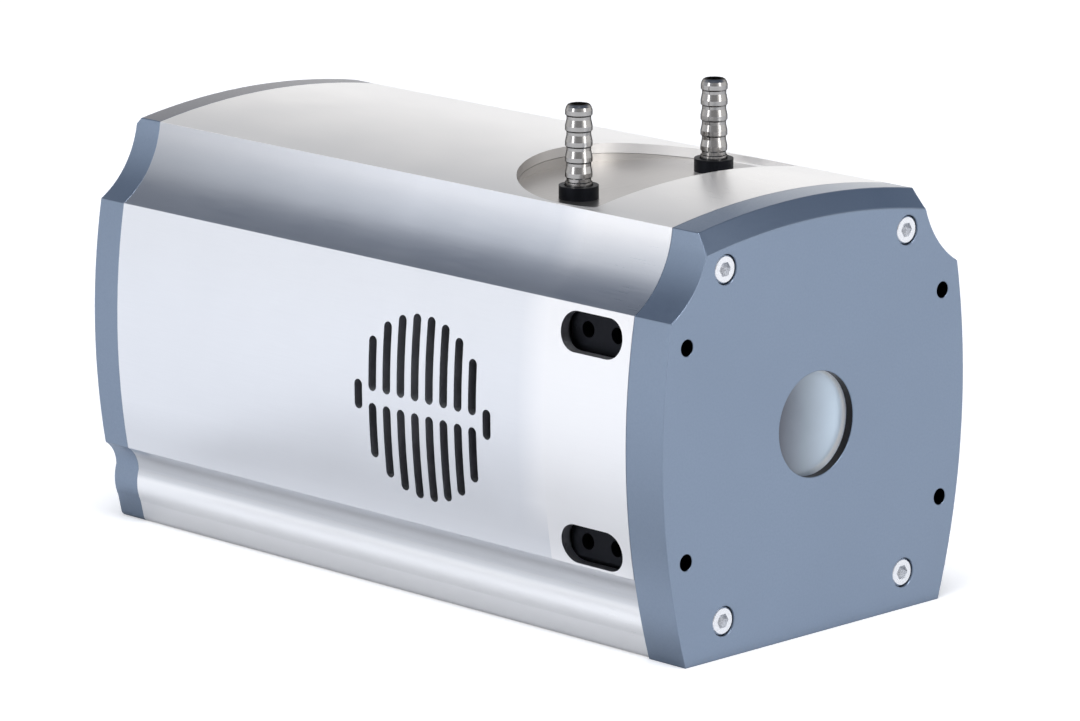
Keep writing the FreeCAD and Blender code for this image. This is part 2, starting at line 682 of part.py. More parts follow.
def heat_sink():
    sink = body("heat_sink_body", y=chamber_back)
    pad(sink, "sink_base",
        rectangle(sketch_on(sink, "sink_base_sketch", "XZ_Plane"),
                  -Dims.sink_x, Dims.sink_x, Dims.sink_low_z, Dims.sink_top_z),
        Dims.sink_depth, reverse=True)
    rims = sketch_on(sink, "rim_fins_sketch", "XZ_Plane", -Dims.sink_depth)
    for sign in (1, -1):
        middle = Dims.fan_z + rim_fin_z * sign
        rectangle(rims, -Dims.fin_x, Dims.fin_x, middle - 2.5, middle + 2.5)
    pad(sink, "rim_fins", rims, Dims.fin_length, reverse=True)
    fins = 12
    fin = sketch_on(sink, "fin_sketch", "XZ_Plane", -Dims.sink_depth)
    low = Dims.fan_z - Dims.fin_pitch * (fins - 1) / 2 - Dims.fin_thick / 2
    rectangle(fin, -Dims.fin_x, Dims.fin_x, low, low + Dims.fin_thick)
    first = pad(sink, "fin", fin, Dims.fin_length, reverse=True)
    pattern = sink.newObject("PartDesign::LinearPattern", "fins")
    pattern.Originals = [first]
    up = [item for item in sink.Origin.OriginFeatures if item.Role == "Z_Axis"][0]
    pattern.Direction = (up, [""])
    bind(pattern, "Length", Dims.fin_pitch * (fins - 1))
    pattern.Occurrences = fins
    sink.Tip = pattern
    drill(sink, "sink_head_bores", SINK_SCREWS, 3.8, 4.4, y=Dims.sink_depth, reverse=True)
    drill(sink, "sink_screw_holes", SINK_SCREWS, 2.25)
    drill(sink, "rod_sockets", corners_of(Dims.rod_x, Dims.rod_z), Dims.rod_radius + 0.06, 8.0,
          y=Dims.sink_depth, reverse=True)
    drill(sink, "water_ports", [(PORT_X, PORT_Z), (-PORT_X, PORT_Z)], PORT_RADIUS, 8.0,
          y=Dims.sink_depth, reverse=True)
    channel = sketch_on(sink, "channel_sketch", "YZ_Plane", -PORT_X)
    circle(channel, Dims.sink_depth / 2, PORT_Z, PORT_RADIUS)
    pocket(sink, "channel", channel, PORT_X * 2, reverse=True)
    drill(sink, "manifold_taps", MANIFOLD_SCREWS, 2.05, 9.0, y=Dims.sink_depth, reverse=True)
    for side, sign in (("left", -1), ("right", 1)):
        face = sketch_on(sink, f"rim_taps_{side}_sketch", "YZ_Plane", Dims.fin_x * sign)
        for y, z in rim_screw_spots(chamber_back):
            circle(face, y, z, 1.35)
        pocket(sink, f"rim_taps_{side}", face, 8.0, reverse=sign < 0)
    part(sink, "heat_sink")

    master = screw("sink_screw", 3.5, 4.0, 2.0, 16.0)
    part(copies("sink_screws", master,
                [(x, sink_back - 0.4, z) for x, z in SINK_SCREWS],
                Vector(1, 0, 0), 90), "heat_sink_screws")


def rim_screw_spots(start):
    """Y and Z of the screws in the two thick outer fins, from the given start along Y."""
    return [(Dims.fan_y - start + Dims.fan_hole * across, Dims.fan_z + rim_fin_z * up)
            for across in (-1, 1) for up in (-1, 1)]


def water_manifold():
    """Passages from the barbs down, inwards and forwards to the heat sink's ports."""
    block = body("manifold_body", y=sink_back)
    pad(block, "manifold_block",
        rectangle(sketch_on(block, "manifold_sketch", "XZ_Plane"),
                  -Dims.manifold_x, Dims.manifold_x,
                  Dims.manifold_z, Dims.manifold_z + Dims.manifold_height),
        Dims.manifold_depth, reverse=True)
    barb_y = Dims.barb_y - sink_back
    top = Dims.manifold_z + Dims.manifold_height
    seat_depth = top - Dims.deck_z + Dims.shank_length
    for name, radius, depth in (("shank_seats", Dims.shank_radius + 0.05, seat_depth),
                                ("down_bores", Dims.barb_bore, top - PORT_Z)):
        sketch = sketch_on(block, name + "_sketch", "XY_Plane", top)
        for side, x in sides(Dims.barb_x):
            circle(sketch, x, barb_y, radius)
        pocket(block, name, sketch, depth)
    for side, sign in (("left", -1), ("right", 1)):
        across = sketch_on(block, f"across_{side}_sketch", "YZ_Plane", PORT_X * sign)
        circle(across, barb_y, PORT_Z, Dims.barb_bore)
        pocket(block, f"across_{side}", across, Dims.barb_x - PORT_X + 2.0, reverse=sign > 0)
    drill(block, "front_ports", [(PORT_X, PORT_Z), (-PORT_X, PORT_Z)], PORT_RADIUS,
          barb_y + PORT_RADIUS)
    drill(block, "manifold_screw_holes", MANIFOLD_SCREWS, 2.25)
    part(block, "water_manifold")

    master = screw("manifold_screw", 3.5, 4.0, 2.0, 34.0)
    face = sink_back + Dims.manifold_depth + 4.0
    part(copies("manifold_screw_set", master, [(x, face, z) for x, z in MANIFOLD_SCREWS],
                Vector(1, 0, 0), 90), "manifold_screws")


def hose_barb(side, x):
    """A hose tail with a threaded shank below the deck and tapering ridges above it."""
    barb = body(f"barb_{side}", x, Dims.barb_y, Dims.deck_z)
    neck = Dims.barb_radius - 0.42
    outline = [(Dims.barb_bore, -Dims.shank_length), (Dims.shank_radius, -Dims.shank_length),
               (Dims.shank_radius, 0.0), (Dims.barb_radius, 0.0),
               (Dims.barb_radius, Dims.root_height)]
    ridges = 5
    for ridge in range(ridges):
        low = Dims.root_height + Dims.barb_pitch * ridge
        outline += [(neck, low + 0.2), (neck, low + 1.1), (Dims.barb_radius, low + 1.6),
                    (Dims.barb_radius, low + 2.9)]
    top = Dims.root_height + Dims.barb_pitch * ridges
    outline += [(neck + 0.1, top - 0.8), (neck - 0.3, top - 0.2), (neck - 0.7, top),
                (Dims.barb_bore, top)]
    profile = polygon(sketch_on(barb, f"barb_{side}_profile", "XZ_Plane"), outline)
    turn = barb.newObject("PartDesign::Revolution", f"barb_{side}_turned")
    turn.Profile = profile
    turn.ReferenceAxis = (profile, ["V_Axis"])
    turn.Angle = 360.0
    part(barb, f"hose_barb_{side}")


def barb_collars():
    rings = []
    for side, x in sides(Dims.barb_x):
        spot = (x, Dims.barb_y, Dims.deck_z)
        rings.append(cut(f"collar_{side}",
                         rod(f"collar_{side}_rim", Dims.collar_radius, Dims.collar_height,
                             *spot, "Z"),
                         rod(f"collar_{side}_bore", Dims.barb_radius + 0.25, Dims.collar_height,
                             *spot, "Z")))
    part(group("collars", rings), "barb_collars")


# ---------------------------------------------------------------- fan and air path

def fan_housing():
    outer_x = Dims.fan_face - Dims.fan_depth
    half = Dims.fan_size / 2
    spider_thick, hub, strut = 2.4, Dims.hub_radius + 1.0, 3.0
    spider_x = Dims.fan_face - spider_thick
    middle = (outer_x, Dims.fan_y, Dims.fan_z)
    holes = [rod(f"fan_hole_{a}_{b}", 2.2, Dims.fan_depth, outer_x,
                 Dims.fan_y + Dims.fan_hole * a, Dims.fan_z + Dims.fan_hole * b, "X")
             for a in (-1, 1) for b in (-1, 1)]
    shell = cut("fan_shell", box("fan_block", Dims.fan_depth, Dims.fan_size, Dims.fan_size,
                                 outer_x, Dims.fan_y - half, Dims.fan_z - half),
                rod("fan_tunnel", Dims.fan_bore, Dims.fan_depth, *middle, "X"), *holes)
    reach = Dims.fan_bore + 0.5
    spider = [rod("fan_hub", hub, spider_thick, spider_x, Dims.fan_y, Dims.fan_z, "X"),
              box("strut_up", spider_thick, strut, reach * 2,
                  spider_x, Dims.fan_y - strut / 2, Dims.fan_z - reach),
              box("strut_along", spider_thick, reach * 2, strut,
                  spider_x, Dims.fan_y - reach, Dims.fan_z - strut / 2)]
    part(fuse("fan_frame_solid", shell, *spider), "fan_frame")

    bore, wall = Dims.shaft_radius + Dims.bearing_clearance, 1.6
    start = outer_x + 3.6
    length = spider_x - start
    tube = (start, Dims.fan_y, Dims.fan_z)
    part(cut("bearing", rod("bearing_rim", bore + wall, length, *tube, "X"),
             rod("bearing_bore", bore, length, *tube, "X")), "fan_bearing")

    stack_x = outer_x + 4.6
    depth = spider_x - stack_x - 0.8
    core = (stack_x, Dims.fan_y, Dims.fan_z)
    poles = [rod("stator_ring", 5.5, depth, *core, "X"),
             box("pole_up", depth, 5.0, 22.0, stack_x, Dims.fan_y - 2.5, Dims.fan_z - 11.0),
             box("pole_along", depth, 22.0, 5.0, stack_x, Dims.fan_y - 11.0, Dims.fan_z - 2.5)]
    part(cut("stator", fuse("stator_blank", *poles),
             rod("stator_bore", bore + wall + 0.1, depth, *core, "X")), "fan_stator")


def fan_blades():
    """Seven twisted blades about the X axis, clipped to the blade circle."""
    count, thick, root = 7, 1.3, number(Dims.hub_radius) - 0.8
    tip = number(Dims.blade_tip)

    def section(radius, axial, tangential):
        chord = Vector(axial, tangential, 0) / 2
        across = Vector(-tangential, axial, 0).normalize() * (thick / 2)
        flat = [chord + across, chord - across, -chord - across, -chord + across]
        points = [Vector(p.x, p.y, radius) for p in flat]
        return Part.makePolygon(points + points[:1])

    blade = Part.makeLoft([section(root, 8.6, 6.5), section(tip + 3.0, 7.2, 15.0)], True, True)
    circle_of_tips = Part.makeCylinder(tip, 30, Vector(-15, 0, 0), Vector(1, 0, 0))
    blade = blade.common(circle_of_tips)
    turned = []
    for index in range(count):
        copy = blade.copy()
        copy.rotate(Vector(0, 0, 0), Vector(1, 0, 0), 360.0 * index / count)
        turned.append(copy)
    feature = doc.addObject("Part::Feature", "blades")
    feature.Shape = Part.makeCompound(turned)
    middle = Dims.fan_face - Dims.fan_depth + 5.9
    return place(feature, middle, Dims.fan_y, Dims.fan_z)


def fan_rotor():
    cap_x = Dims.fan_face - Dims.fan_depth + 0.4
    cap_thick, wall = 1.4, 1.4
    spot = (cap_x, Dims.fan_y, Dims.fan_z)
    cup = cut("rotor_cup", rod("rotor_drum", Dims.hub_radius, Dims.hub_length, *spot, "X"),
              rod("rotor_hollow", Dims.hub_radius - wall, Dims.hub_length,
                  cap_x + cap_thick, Dims.fan_y, Dims.fan_z, "X"))
    shaft = rod("rotor_shaft", Dims.shaft_radius, Dims.hub_length, *spot, "X")
    part(fuse("rotor", cup, shaft, fan_blades()), "fan_rotor")


def air_path():
    half_y, half_z = Dims.fan_size / 2 + 3, rim_fin_z + 3.5
    thick = -Dims.fin_x - Dims.fan_face
    screws = rim_screw_spots(0.0)
    fan_screws = [(Dims.fan_y + Dims.fan_hole * a, Dims.fan_z + Dims.fan_hole * b)
                  for a in (-1, 1) for b in (-1, 1)]
    drills = [rod(f"bracket_hole_{index}", radius, thick, Dims.fan_face, y, z, "X")
              for index, (y, z, radius) in enumerate(
                  [(*spot, 1.8) for spot in screws] + [(*spot, 2.05) for spot in fan_screws])]
    part(cut("bracket", box("bracket_plate", thick, half_y * 2, half_z * 2, Dims.fan_face,
                            Dims.fan_y - half_y, Dims.fan_z - half_z),
             rod("bracket_bore", Dims.fan_bore, thick, Dims.fan_face, Dims.fan_y, Dims.fan_z, "X"),
             *drills), "fan_bracket")

    master = screw("fan_screw", 3.4, 1.8, 2.0, Dims.fan_depth + 1.4)
    head = Dims.fan_face - Dims.fan_depth - 1.8
    part(copies("fan_screw_set", master, [(head, y, z) for y, z in fan_screws], *TURN["X"]),
         "fan_screws")

    flange_x, wall, mouth = Dims.fin_x, 1.2, Dims.fan_size / 2 + 1.5
    length = Dims.skirt_x - Dims.wall - flange_x - 1.0
    flange = box("duct_flange", thick, half_y * 2, half_z * 2, flange_x,
                 Dims.fan_y - half_y, Dims.fan_z - half_z)
    tube = box("duct_tube", length, mouth * 2, mouth * 2, flange_x,
               Dims.fan_y - mouth, Dims.fan_z - mouth)
    inner = mouth - wall
    hollow = box("duct_hollow", length, inner * 2, inner * 2, flange_x,
                 Dims.fan_y - inner, Dims.fan_z - inner)
    holes = [rod(f"duct_hole_{index}", 1.8, thick, flange_x, y, z, "X")
             for index, (y, z) in enumerate(screws)]
    part(cut("duct", fuse("duct_blank", flange, tube), hollow, *holes), "exhaust_duct")

    rim = screw("rim_screw", 2.6, 1.8, 1.3, 7.0)
    left = copies("bracket_screw_set", rim, [(Dims.fan_face - 1.8, y, z) for y, z in screws],
                  *TURN["X"])
    right = copies("duct_screw_set", rim, [(flange_x + thick + 1.8, y, z) for y, z in screws],
                   Vector(0, 1, 0), -90)
    part(left, "bracket_screws")
    part(right, "duct_screws")


# ---------------------------------------------------------------- chassis and electronics

def chassis():
    spots = corners_of(Dims.rod_x, Dims.rod_z)
    start = sink_back - 7.8
    rods = []
    for index, (x, z) in enumerate(spots):
        rods.append(cut(f"rod_{index}",
                        rod(f"rod_{index}_bar", Dims.rod_radius, rear_start - start, x, start, z),
                        rod(f"rod_{index}_tap", Dims.screw_radius - 0.45, 12.0,
                            x, rear_start - 12.0, z)))
    part(group("rods", rods), "chassis_rods")

    gap = Dims.board_pitch - Dims.board_thick
    bore = Dims.rod_radius + 0.1
    tubes, nuts = [], []
    nut_thick = 4.0
    for index, (x, z) in enumerate(spots):
        for bay in range(2):
            y = Dims.board_start + Dims.board_thick + Dims.board_pitch * bay
            tag = f"{index}_{bay}"
            tubes.append(cut(f"spacer_{tag}", rod(f"spacer_{tag}_rim", 4.6, gap, x, y, z),
                             rod(f"spacer_{tag}_bore", bore, gap, x, y, z)))
        last = Dims.board_start + Dims.board_pitch * 2 + Dims.board_thick
        for end, y in (("front", Dims.board_start - nut_thick), ("back", last)):
            tag = f"{end}_{index}"
            nut = doc.addObject("Part::Prism", f"nut_{tag}_hex")
            nut.Polygon = 6
            nut.Circumradius = 5.2
            nut.Height = nut_thick
            place(nut, x, y, z, *TURN["Y"])
            nuts.append(cut(f"nut_{tag}", nut, rod(f"nut_{tag}_bore", bore, nut_thick, x, y, z)))
    part(group("spacers", tubes), "board_spacers")
    part(group("nuts", nuts), "board_nuts")


# each board's components: width, depth, height and the X and Z of the middle
BOARDS = (
    ("readout", [(22.0, 2.4, 22.0, 0.0, 12.0), (10.0, 1.8, 14.0, -26.0, 18.0),
                 (10.0, 1.8, 14.0, 26.0, 18.0), (40.0, 5.0, 6.0, 0.0, -34.0)]),
    ("control", [(27.0, 2.6, 27.0, -8.0, 4.0), (12.0, 1.6, 18.0, 22.0, 6.0),
                 (12.0, 1.6, 18.0, 22.0, -20.0), (34.0, 5.0, 6.0, -4.0, -36.0)]),
    ("power", [(18.0, 9.0, 18.0, -22.0, 14.0), (18.0, 9.0, 18.0, 6.0, 14.0),
               (8.0, 12.0, 8.0, 28.0, 20.0), (8.0, 12.0, 8.0, 28.0, 8.0),
               (44.0, 6.0, 10.0, -4.0, -34.0)]),
)


def boards():
    """Three circuit boards across the camera, threaded on the chassis rods."""
    width, height = Dims.board_x - 2.5, Dims.board_z - 1.5
    for index, (name, chips) in enumerate(BOARDS):
        y = Dims.board_start + Dims.board_pitch * index
        holes = [rod(f"{name}_hole_{n}", Dims.rod_radius + 0.1, Dims.board_thick, x, y, z)
                 for n, (x, z) in enumerate(corners_of(Dims.rod_x, Dims.rod_z))]
        part(cut(f"{name}_laminate", centred_box(f"{name}_sheet", width * 2, Dims.board_thick,
                                                 height * 2, y=y), *holes), f"{name}_board")
        part(group(f"{name}_chips", [
            box(f"{name}_chip_{n}", long, deep, tall, x - long / 2, y - deep, z - tall / 2)
            for n, (long, deep, tall, x, z) in enumerate(chips)]), f"{name}_components")


def sockets():
    """Power inlet, data port and two coaxial trigger sockets in the rear plate."""
    face = rear_start + Dims.rear_depth
    name, x, radius = ROUND_SOCKETS[0]
    barrel, flange, pocket_depth = 16.0, 1.6, 3.4
    shell = fuse("power_shell", rod("power_barrel", radius, barrel, x, face - barrel, SOCKET_Z),
                 rod("power_flange", radius + 2.5, flange, x, face, SOCKET_Z))
    floor = face + flange - pocket_depth
    mouth = rod("power_mouth", radius - 2.0, pocket_depth, x, floor, SOCKET_Z)
    key = box("power_key", 2.0, pocket_depth, radius, x - 1.0, floor, SOCKET_Z)
    pins = []
    for index in range(4):
        angle = math.pi / 4 + math.pi / 2 * index
        pins.append(rod(f"power_pin_{index}", 0.6, 2.4, x + 3.0 * math.cos(angle), floor,
                        SOCKET_Z + 3.0 * math.sin(angle)))
    part(fuse("power_socket", cut("power_body", shell, mouth, key), *pins), "power_inlet")

    half_x, half_z = DATA_SHELL
    depth = 12.0
    part(cut("data_body",
             centred_box("data_shell", half_x * 2, depth + 0.6, half_z * 2, y=face - depth,
                         z=SOCKET_Z),
             centred_box("data_slot", 9.0, 6.0, 2.8, y=face - 5.4, z=SOCKET_Z)), "data_socket")

    coax = []
    for name, x, radius in ROUND_SOCKETS[1:]:
        spot = (x, face, SOCKET_Z)
        nut = doc.addObject("Part::Prism", f"{name}_nut")
        nut.Polygon = 6
        nut.Circumradius = 5.0
        nut.Height = 2.0
        place(nut, *spot, *TURN["Y"])
        barrel = rod(f"{name}_barrel", radius, 20.0, x, face - 12.0, SOCKET_Z)
        contact = rod(f"{name}_contact", 0.7, 4.0, x, face + 4.0, SOCKET_Z)
        coax.append(cut(f"{name}_socket", fuse(f"{name}_shell", nut, barrel), contact))
    part(group("coax", coax), "trigger_sockets")


# ---------------------------------------------------------------- build, check and write

def build():
    front_plate()
    window()
    front_housing()
    main_casing()
    hose_deck()
    rear_plate()
    chamber()
    sensor()
    heat_sink()
    water_manifold()
    for side, x in sides(Dims.barb_x):
        hose_barb(side, x)
    barb_collars()
    fan_housing()
    fan_rotor()
    air_path()
    chassis()
    boards()
    sockets()
    doc.recompute()


def check():
    """Stop on any failed object, empty or broken shape, or pocket that cuts nothing."""
    for thing in doc.Objects:
        bad = [state for state in thing.State if state in ("Invalid", "Error")]
        if bad:
            raise RuntimeError(f"{thing.Name} failed: {bad}")
        if thing.TypeId == "PartDesign::Pocket":
            removed = thing.BaseFeature.Shape.Volume - thing.Shape.Volume
            if removed < 0.1:
                raise RuntimeError(f"{thing.Name} cuts nothing")
    for thing in PARTS:
        if thing.Shape.isNull() or not thing.Shape.isValid():
            raise RuntimeError(f"{thing.Label} has no valid shape")


def write():
    os.makedirs("parts", exist_ok=True)
    for thing in PARTS:
        thing.Shape.exportStep(f"parts/{thing.Label}.step")
        size = thing.Shape.BoundBox
        print(f"{thing.Label:22s} {len(thing.Shape.Solids):3d} solids "
              f"{thing.Shape.Volume / 1000:9.2f} cm3  "
              f"x {size.XMin:7.2f} {size.XMax:7.2f}  y {size.YMin:7.2f} {size.YMax:7.2f}  "
              f"z {size.ZMin:7.2f} {size.ZMax:7.2f}")


build()
check()
write()
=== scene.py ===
import json
import math

import bpy
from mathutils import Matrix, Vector


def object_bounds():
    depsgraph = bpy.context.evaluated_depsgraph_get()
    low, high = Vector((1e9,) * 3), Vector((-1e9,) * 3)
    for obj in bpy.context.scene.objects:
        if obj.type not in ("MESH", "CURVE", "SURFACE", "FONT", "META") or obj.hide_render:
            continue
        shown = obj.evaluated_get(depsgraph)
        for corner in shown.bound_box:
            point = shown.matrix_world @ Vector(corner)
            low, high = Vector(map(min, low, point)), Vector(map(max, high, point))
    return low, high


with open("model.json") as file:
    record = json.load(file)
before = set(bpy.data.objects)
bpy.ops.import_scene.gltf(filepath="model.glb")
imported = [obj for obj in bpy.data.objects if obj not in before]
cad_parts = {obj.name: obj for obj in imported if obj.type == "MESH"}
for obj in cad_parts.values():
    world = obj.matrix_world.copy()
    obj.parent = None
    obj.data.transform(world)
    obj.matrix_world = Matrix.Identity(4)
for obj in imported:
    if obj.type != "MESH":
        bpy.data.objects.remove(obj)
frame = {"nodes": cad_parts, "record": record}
CAD_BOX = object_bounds()
NODES = frame["nodes"]
SLOTS = {row["node"]: row["material_slot"] for row in frame["record"]["subparts"]}
MM = 0.001


# ---------------------------------------------------------------- node trees


class Graph:
    """A node tree under construction: nodes are added and joined by keyword."""

    def __init__(self, tree, coordinates):
        self.tree = tree
        self.where = self.add("ShaderNodeTexCoord").outputs[coordinates]

    def add(self, kind, settings=(), **inputs):
        node = self.tree.nodes.new(kind)
        for key, value in dict(settings).items():
            setattr(node, key, value)
        self.feed(node, **inputs)
        return node

    def feed(self, node, **inputs):
        """Sets or links sockets, called by name (Base_Color) or by number (input0)."""
        for key, value in inputs.items():
            name = key.replace("_", " ")
            socket = node.inputs[int(name[5:]) if name.startswith("input") else name]
            if isinstance(value, bpy.types.NodeSocket):
                self.tree.links.new(value, socket)
            else:
                socket.default_value = value

    def math(self, operation, first, second=0.0):
        return self.add("ShaderNodeMath", {"operation": operation}, input0=first,
                        input1=second).outputs[0]

    def times(self, first, *others):
        for other in others:
            first = self.math("MULTIPLY", first, other)
        return first

    def without(self, value):
        return self.math("SUBTRACT", 1.0, value)

    def span(self, value, low, high, start=0.3, end=0.7):
        """Maps a value between start and end, by default the middle of a noise, to a new range."""
        return self.add("ShaderNodeMapRange", Value=value, From_Min=start, From_Max=end,
                        To_Min=low, To_Max=high).outputs[0]

    def axis(self, name):
        return self.add("ShaderNodeSeparateXYZ", Vector=self.where).outputs[name]

    def tint(self, factor, first, second):
        node = self.add("ShaderNodeMix", {"data_type": "RGBA"}, input0=factor)
        for socket, value in ((node.inputs[6], first), (node.inputs[7], second)):
            if isinstance(value, bpy.types.NodeSocket):
                self.tree.links.new(value, socket)
            else:
                socket.default_value = (*value, 1.0)
        return node.outputs[2]

    def ramp(self, value, stops):
        """Reads a colour from stops of a place and a colour, lowest place first."""
        node = self.add("ShaderNodeValToRGB", Fac=value)
        elements = node.color_ramp.elements
        while len(elements) < len(stops):
            elements.new(1.0)
        for element, (place, colour) in zip(elements, stops):
            element.position, element.color = place, (*colour, 1.0)
        return node.outputs[0]


class Look(Graph):
    """A material that is painted by place, in the frame's own axes."""

    def __init__(self, name):
        self.material = bpy.data.materials.new(name)
        self.material.use_nodes = True
        super().__init__(self.material.node_tree, "Object")
        self.shader = self.tree.nodes["Principled BSDF"]

    def noise(self, scale, stretch=(1, 1, 1), detail=4.0):
        """Noise of so many cells to the metre, drawn out along the axes with a small stretch."""
        spread = self.add("ShaderNodeMapping", Vector=self.where, Scale=stretch)
        return self.add("ShaderNodeTexNoise", Vector=spread.outputs[0], Scale=scale,
                        Detail=detail, Roughness=0.55).outputs["Fac"]

    def bump(self, height, distance):
        return self.add("ShaderNodeBump", Height=height, Distance=distance).outputs[0]

    def across(self, axis, start, end):
        """0 to 1 along one axis, from one place to another in millimetres."""
        return self.span(self.axis(axis), 0.0, 1.0, start * MM, end * MM)

    def inside(self, axes, centre, radius, soft):
        """1 within so many millimetres of a line along the third axis, through a centre."""
        squares = [self.math("POWER", self.math("SUBTRACT", self.axis(axis), at * MM), 2.0)
                   for axis, at in zip(axes, centre)]
        distance = self.math("SQRT", self.math("ADD", *squares))
        return self.span(distance, 1.0, 0.0, (radius - soft) * MM, (radius + soft) * MM)

    def repaint(self, factor, colour):
        """Lays another colour over the shader's own where the factor says."""
        under = self.shader.inputs["Base Color"].links[0].from_socket
        self.feed(self.shader, Base_Color=self.tint(factor, under, colour))


# ---------------------------------------------------------------- materials


def shade(colour, amount):
    return tuple(min(1.0, c * amount) for c in colour)


def metal(name, colour, roughness, grain=900.0, stretch=(1, 1, 1), depth=0.004, variation=0.04):
    """Metal with a grain, drawn out for a brushed or extruded face, and soft cloudy variation."""
    spread = 0.04
    look = Look(name)
    fine = look.noise(grain, stretch, detail=3.0)
    cloud = look.noise(22.0, detail=2.0)
    patchy = look.tint(look.span(cloud, 0.0, 1.0), shade(colour, 1 - variation / 2),
                       shade(colour, 1 + variation / 2))
    grained = look.tint(look.span(fine, 0.0, 0.5), patchy, shade(colour, 1 - variation))
    rough = look.math("ADD", look.span(fine, roughness - spread, roughness + spread),
                      look.span(cloud, -spread / 2, spread / 2))
    look.feed(look.shader, Base_Color=grained, Roughness=rough, Metallic=1.0,
              Normal=look.bump(fine, depth * MM))
    return look


def moulded(name, colour, roughness, depth=0.02):
    """Plastic, rubber or coating with a fine texture and slightly uneven gloss."""
    variation, spread = 0.15, 0.06
    look = Look(name)
    fine = look.noise(1200.0, detail=2.0)
    cloud = look.noise(60.0, detail=3.0)
    tone = look.tint(look.span(cloud, 0.0, 1.0), shade(colour, 1 - variation),
                     shade(colour, 1 + variation))
    rough = look.span(cloud, roughness - spread, roughness + spread)
    look.feed(look.shader, Base_Color=tone, Roughness=rough,
              Normal=look.bump(fine, depth * MM))
    return look


PLATE = (0.259, 0.321, 0.418)
# Painted shade on the front plate's top bevel.
PLATE_BEVEL_SHADE = (0.136, 0.189, 0.278)
# Painted highlight on the front plate's crown.
PLATE_CROWN_HIGHLIGHT = (0.66, 0.68, 0.71)
# Painted reflection: the rear plate's crown in grey.
PLATE_CROWN_REAR_REFLECTION = (0.37, 0.365, 0.38)
# Painted shade: the wall of the front plate's aperture, near black.
APERTURE_WALL_SHADE = (0.035, 0.033, 0.034)
# Painted shade: the walls of the front plate's four holes, near black.
HOLE_WALL_SHADE = (0.012, 0.012, 0.014)
SILVER = (0.84, 0.862, 0.905)
SILVER_FRONT = (0.97, 0.975, 0.995)
# Painted highlight on the rail of the casings.
SILVER_RAIL_HIGHLIGHT = (0.97, 0.98, 1.0)
# Painted shade in the groove and at the foot of the coves.
SILVER_PAINTED_SHADE = shade(SILVER, 0.66)
# Painted highlight on the crown, the right one lighter.
CROWN_LEFT, CROWN_RIGHT_HIGHLIGHT = (0.90, 0.89, 0.87), (1.0, 0.985, 0.97)
# Painted shade on the recess wall, the left one darker.
RECESS_WALL_SHADED, RECESS_WALL_LIT = (0.42, 0.405, 0.39), (0.96, 0.94, 0.92)
# Painted shade and highlight on the deck, the left one darker.
DECK_SHADED_LEFT, DECK_LIT_RIGHT = (0.48, 0.462, 0.443), (0.69, 0.665, 0.64)
# Painted reflection in the window.
WINDOW_REFLECTION_DARK, WINDOW_REFLECTION_LIGHT = (0.08, 0.088, 0.117), (0.68, 0.806, 0.919)
# Painted highlight on the window's rim.
WINDOW_RIM_HIGHLIGHT = (0.95, 0.98, 1.0)
PAPER = (0.81, 0.81, 0.82)

# Places on the object, in millimetres of the frame.
APERTURE_R = 16.0
HOLES_X, HOLES_Z, HOLE_R = 55.0, 32.0, 2.5
BEVEL_FOOT_Z, BEVEL_BACK_Y = 57.0, 4.5
SEAM_Y = 49.0  # between the front housing and the main casing
MIDDLE_Y, REAR_Y = 100.0, 200.0  # the front plate lies before the one, the rear plate behind both
RECESS_Y, RECESS_R = 62.0, 45.0
RIDGE_Z = 63.9  # the crown rises above its two ridges
COVE_FOOT_Z = 40.0
SIDE_FOOT_Z = -39.0  # the groove lies between the foot of the flat side and the rail
RAIL_Z = -49.5

LOOKS = {
    "plate_blue": metal("plate_anodised", PLATE, 0.42, grain=1400.0, depth=0.006),
    "casing_silver": metal("casing_extruded", SILVER, 0.34, grain=3500.0, stretch=(1, 0.02, 1),
                           depth=0.001, variation=0.025),
    "deck_silver": metal("deck_brushed", DECK_SHADED_LEFT, 0.32, grain=2500.0, stretch=(0.02, 1, 1),
                         depth=0.003, variation=0.08),
    "black_anodised": metal("anodised_black", (0.016, 0.017, 0.021), 0.50),
    "bright_steel": metal("screw_steel", (0.90, 0.91, 0.93), 0.28, grain=1500.0, depth=0.002),
    "barb_nickel": metal("barb_plated", (0.42, 0.41, 0.40), 0.14, grain=600.0, depth=0.003),
    "window_glass": Look("window_coated"),
    "sink_aluminium": metal("machined_aluminium", (0.70, 0.70, 0.71), 0.35, stretch=(1, 0.1, 1)),
    "copper": metal("machined_copper", (0.72, 0.42, 0.28), 0.3, stretch=(0.1, 1, 1)),
    "brass": metal("contact_gold", (0.78, 0.60, 0.30), 0.22),
    "socket_metal": metal("socket_shell", (0.62, 0.62, 0.64), 0.28, stretch=(0.1, 1, 1)),
    "bracket_black": moulded("powder_coat", (0.04, 0.04, 0.045), 0.45, depth=0.05),
    "fan_plastic": moulded("fan_moulding", (0.03, 0.03, 0.03), 0.5),
    "seal_rubber": moulded("seal_rubber", (0.02, 0.02, 0.02), 0.65),
    "ceramic": moulded("fired_ceramic", (0.78, 0.76, 0.72), 0.5),
    "silicon": moulded("sensor_silicon", (0.16, 0.18, 0.24), 0.12, depth=0.002),
    "laminate": moulded("solder_mask", (0.03, 0.20, 0.10), 0.35),
    "chip_black": moulded("chip_moulding", (0.05, 0.05, 0.05), 0.5),
}


def paint_barbs(look):
    """Less glare at the edges of the ridges, whose dark bands are strong in the photo."""
    look.shader.inputs["Specular Tint"].default_value = (0.1, 0.1, 0.1, 1.0)


def paint_deck_shading(look):
    """The turned floor of the recess has a painted shade at its left and a painted highlight to
    its right, and grows duller to the right.
    """
    # Painted shade at the left, painted highlight to the right.
    look.repaint(look.across("X", -40.0, 45.0), DECK_LIT_RIGHT)
    look.feed(look.shader, Metallic=look.without(look.across("X", 15.0, 45.0)))


